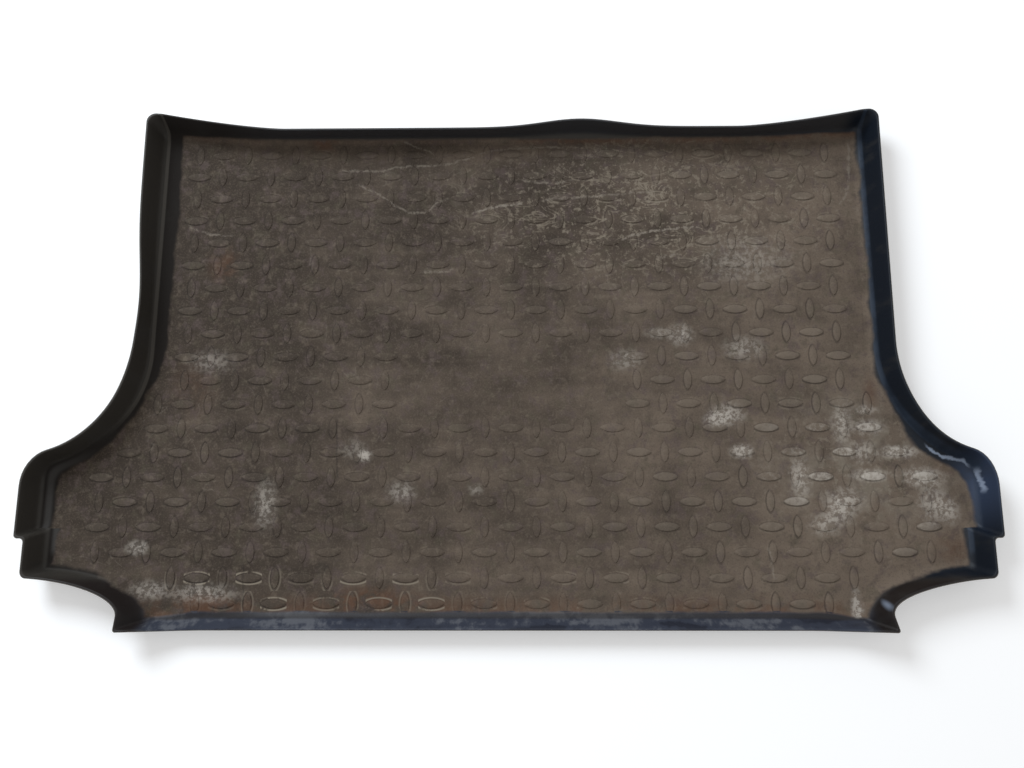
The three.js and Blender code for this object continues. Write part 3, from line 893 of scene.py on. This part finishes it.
def rubberFinish():
    material = bpy.data.materials.new("dustyRubber")
    net = clearNet(material)
    ground = Ground(net)
    noise, t = ground.noises, surface
    film = net.step(noise["patchy"] + (noise["mottled"] - 0.5) * 0.4, 0.5, 0.8)
    # Painted shade: the band at the foot of the left wall is painted darker, and it is also made rougher
    shadedFoot = net.step(ground.across, -1, 3) * ground.leftSide * ground.inner
    trimmed = net.step(net.add("ShaderNodeAttribute", {"attribute_name": "rim"}, out="Fac"), 0.7, 1)
    shade = markedColour(net, ground, dustColour(net, ground))
    wall = wallColour(net, ground, shadedFoot, film, trimmed)

    dustShare = ground.dusty * net.step(noise["patchy"], 0.1, 0.35, 0.8, 1)
    rough = t["roughness"] + net.math("MAXIMUM", ground.dusty, shadedFoot) * t["dustRoughness"]
    height = noise["grain"] * t["grainBump"] + noise["mottled"] * t["mottledBump"]
    relief = net.add("ShaderNodeBump", None, {
        "Strength": t["bumpStrength"], "Distance": t["bumpDistance"] * mm,
        "Height": height + noise["uneven"] * t["unevenBump"],
    })
    shader = net.add("ShaderNodeBsdfPrincipled", None, {
        "Base Color": net.mix(dustShare, wall, shade),
        "Roughness": rough + film * t["filmRoughness"] + trimmed * t["rimRoughness"],
        "Normal": relief, "Specular IOR Level": t["specular"],
    })
    net.add("ShaderNodeOutputMaterial", None, {"Surface": shader})
    return material


rubber = rubberFinish()
print("rubber finish made")

field = bpy.data.objects.new("barField", fieldMesh())
sheet = bpy.data.objects.new("sheet", trayMesh())
for made in (field, sheet):
    bpy.context.scene.collection.objects.link(made)

tree = barTree()
modifier = sheet.modifiers.new("bars", "NODES")
modifier.node_group = tree
values = {name: value for name, _, value in barInputs}
values["Field"], values["Finish"] = field, rubber
for socket in tree.interface.items_tree:
    if socket.in_out == "INPUT" and values[socket.name] is not None:
        modifier[socket.identifier] = values[socket.name]
bpy.context.view_layer.update()
plain = bpy.data.meshes.new_from_object(sheet.evaluated_get(bpy.context.evaluated_depsgraph_get()))
sheet.modifiers.clear()
for made in (field, sheet):
    bpy.data.objects.remove(made)

liner = bpy.data.objects.new("liner", plain)
bpy.context.scene.collection.objects.link(liner)
for vertex in plain.vertices:  # finer curves may bulge past the solid by a hair
    vertex.co = Vector(min(high, max(low, value)) for value, low, high in zip(vertex.co, cadLow, cadHigh))
plain.shade_smooth()
plain.set_sharp_from_angle(angle=math.radians(tray["sharpAngle"]))
floorHeight, flatNormal, slack = tray["floorThickness"] * mm, 0.9999, 0.1 * mm
for face in plain.polygons:  # the floor and the underside stay flat
    height = face.center.z
    if abs(face.normal.z) > flatNormal and (height < slack or abs(height - floorHeight) < slack):
        face.use_smooth = False
triangles = sum(len(face.vertices) - 2 for face in plain.polygons)
print("liner:", len(plain.vertices), "points", triangles, "triangles")

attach(liner, "root")
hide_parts("boot_liner")

# Floor and light in metres, and the camera in millimetres from the middle of the tread
studio = {
    "floorHalf": 8, "floorColour": (0.8, 0.8, 0.8, 1), "floorGlow": 0.3, "worldStrength": 0.55,
    "white": (1, 1, 1, 1),
    "keyPlace": (-1.6, 1.9, 2.2), "keySize": 1.6, "keyPower": 90, "keyColour": (0.86, 0.93, 1),
}
camera = {
    "place": (24.6, -367.8, 1458.2), "turn": (13.312, 0.894, 0.047),
    "focal": 1080, "sensor": 36, "wide": 1024, "near": 0.01, "far": 50,
}


# 1 where the camera or a mirror image sees it, 0 where it only gives light
def seenWhite(net):
    path = net.add("ShaderNodeLightPath")
    direct = net.math("MAXIMUM", path.out("Is Camera Ray"), path.out("Is Glossy Ray"))
    return net.math("MAXIMUM", direct, path.out("Is Transmission Ray"))


half = studio["floorHalf"]
floorMesh = bpy.data.meshes.new("groundFloor")
floorCorners = [(-half, -half, 0), (half, -half, 0), (half, half, 0), (-half, half, 0)]
floorMesh.from_pydata(floorCorners, [], [(0, 1, 2, 3)])
groundFloor = bpy.data.objects.new("groundFloor", floorMesh)
bpy.context.scene.collection.objects.link(groundFloor)
pale = bpy.data.materials.new("paleFloor")
net = clearNet(pale)
matt = net.add("ShaderNodeBsdfDiffuse", None, {"Color": studio["floorColour"]})
glow = net.add("ShaderNodeEmission", None, {
    "Color": studio["white"], "Strength": seenWhite(net) * studio["floorGlow"],
})
both = net.add("ShaderNodeAddShader", None, {0: matt, 1: glow})
net.add("ShaderNodeOutputMaterial", None, {"Surface": both})
floorMesh.materials.append(pale)

world = bpy.data.worlds.new("softWhite")
net = clearNet(world)
strength = net.math("MAXIMUM", seenWhite(net), studio["worldStrength"])
sky = net.add("ShaderNodeBackground", None, {"Color": studio["white"], "Strength": strength})
net.add("ShaderNodeOutputWorld", None, {"Surface": sky})
bpy.context.scene.world = world

lamp = bpy.data.lights.new("keyLamp", "AREA")
lamp.shape, lamp.size = "DISK", studio["keySize"]
lamp.energy, lamp.color = studio["keyPower"], studio["keyColour"]
keyLamp = bpy.data.objects.new("keyLamp", lamp)
keyLamp.location = studio["keyPlace"]
toOrigin = -Vector(studio["keyPlace"])
keyLamp.rotation_euler = toOrigin.to_track_quat("-Z", "Y").to_euler()
bpy.context.scene.collection.objects.link(keyLamp)

lens = bpy.data.cameras.new("camera")
lens.sensor_width = camera["sensor"]
lens.lens = camera["focal"] * camera["sensor"] / camera["wide"]
lens.clip_start, lens.clip_end = camera["near"], camera["far"]
eye = bpy.data.objects.new("camera", lens)
eye.location = (Vector(camera["place"]) + floorMiddle) * mm
eye.rotation_euler = [math.radians(turn) for turn in camera["turn"]]
bpy.context.scene.collection.objects.link(eye)
bpy.context.scene.camera = eye
bpy.context.scene.view_settings.view_transform = "Standard"
print("floor, light and camera set")
